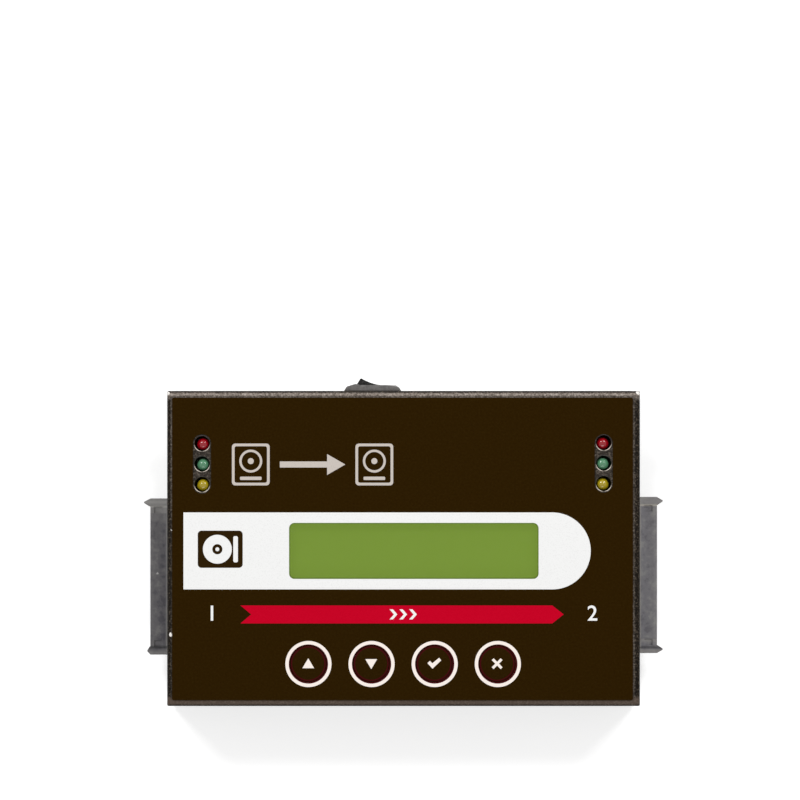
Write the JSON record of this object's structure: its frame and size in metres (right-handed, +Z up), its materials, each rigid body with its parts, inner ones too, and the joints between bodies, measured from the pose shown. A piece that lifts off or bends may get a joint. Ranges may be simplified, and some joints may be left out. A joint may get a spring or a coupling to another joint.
{
  "type": "hard drive duplicator",
  "caption": "Palm-size duplicator with a drive socket on each side, a display window, lamps and push keys on top, and a rocker switch at the rear.",
  "frame": {"origin": "middle of the whole object's footprint, on the plane that the feet stand on", "axes": "+Z up; +X from the source drive to the target drive, the long way; +Y towards the rear, where the rocker switch is"},
  "size_m": [0.1544, 0.0971, 0.0273],
  "materials": {
    "case_metal": "dark grey-brown powder coat, fine speckle",
    "film": "dark brown printed film, satin",
    "window_plastic": "clear plastic, green from the display behind it",
    "frame_metal": "black painted sheet",
    "display_glass": "green liquid crystal glass",
    "backlight_plastic": "white diffuser",
    "board_laminate": "green solder mask",
    "socket_plastic": "dark grey moulding",
    "black_plastic": "black moulding",
    "bezel_plastic": "dark grey moulding",
    "chip_resin": "black resin",
    "ferrite": "dark grey ferrite",
    "capacitor_can": "satin can",
    "plated_steel": "bright plated",
    "brass": "bright",
    "foot_rubber": "matte",
    "plug_plastic": "ivory moulding",
    "wire_red": "red insulation",
    "wire_black": "black insulation",
    "lamp_red": "tinted clear",
    "lamp_green": "tinted clear",
    "lamp_yellow": "tinted clear"
  },
  "bodies": {
    "case": {"top_cover": "case_metal", "base_plate": "case_metal", "overlay_panel": "film", "display_window": "window_plastic", "display_frame": "frame_metal", "display_glass": "display_glass", "display_backlight": "backlight_plastic", "display_board": "board_laminate", "main_board": "board_laminate", "panel_board": "board_laminate", "source_socket": "socket_plastic", "target_socket": "socket_plastic", "display_header": "black_plastic", "link_connector": "black_plastic", "power_inlet": "black_plastic", "key_switch_up": "black_plastic", "key_switch_down": "black_plastic", "key_switch_confirm": "black_plastic", "key_switch_cancel": "black_plastic", "rocker_bezel": "bezel_plastic", "controller_chip": "chip_resin", "power_inductor": "ferrite", "power_capacitor": "capacitor_can", "power_inlet_pin": "plated_steel", "cover_screw_front_left": "plated_steel", "cover_screw_front_right": "plated_steel", "cover_screw_rear_left": "plated_steel", "cover_screw_rear_right": "plated_steel", "panel_screw_front_left": "plated_steel", "panel_screw_front_right": "plated_steel", "panel_screw_rear_left": "plated_steel", "panel_screw_rear_right": "plated_steel", "rocker_terminal_live": "brass", "rocker_terminal_return": "brass", "spacer_front_left": "brass", "spacer_front_right": "brass", "spacer_rear_left": "brass", "spacer_rear_right": "brass", "foot_front_left": "foot_rubber", "foot_front_right": "foot_rubber", "foot_rear_left": "foot_rubber", "foot_rear_right": "foot_rubber", "wire_plug": "plug_plastic", "rocker_wire_live": "wire_red", "rocker_wire_return": "wire_black", "source_lamp_red": "lamp_red", "target_lamp_red": "lamp_red", "source_lamp_green": "lamp_green", "target_lamp_green": "lamp_green", "source_lamp_yellow": "lamp_yellow", "target_lamp_yellow": "lamp_yellow"},
    "key_up_body": {"key_up": "film", "key_plunger_up": "black_plastic"},
    "key_down_body": {"key_down": "film", "key_plunger_down": "black_plastic"},
    "key_confirm_body": {"key_confirm": "film", "key_plunger_confirm": "black_plastic"},
    "key_cancel_body": {"key_cancel": "film", "key_plunger_cancel": "black_plastic"},
    "rocker": {"rocker_paddle": "black_plastic"}
  },
  "joints": [
    {"name": "key_up_press", "type": "slide", "parent": "case", "child": "key_up_body", "axis": [0, 0, -1], "range_m": [0, 0.0005], "stiffness_N_per_m": 800, "springref_m": -0.0015},
    {"name": "key_down_press", "type": "slide", "parent": "case", "child": "key_down_body", "axis": [0, 0, -1], "range_m": [0, 0.0005], "stiffness_N_per_m": 800, "springref_m": -0.0015},
    {"name": "key_confirm_press", "type": "slide", "parent": "case", "child": "key_confirm_body", "axis": [0, 0, -1], "range_m": [0, 0.0005], "stiffness_N_per_m": 800, "springref_m": -0.0015},
    {"name": "key_cancel_press", "type": "slide", "parent": "case", "child": "key_cancel_body", "axis": [0, 0, -1], "range_m": [0, 0.0005], "stiffness_N_per_m": 800, "springref_m": -0.0015},
    {"name": "rocker_rock", "type": "hinge", "parent": "case", "child": "rocker", "pos_m": [-0.00915, 0.04258, 0.0148], "axis": [0, 0, 1], "range_deg": [0, 26]}
  ]
}
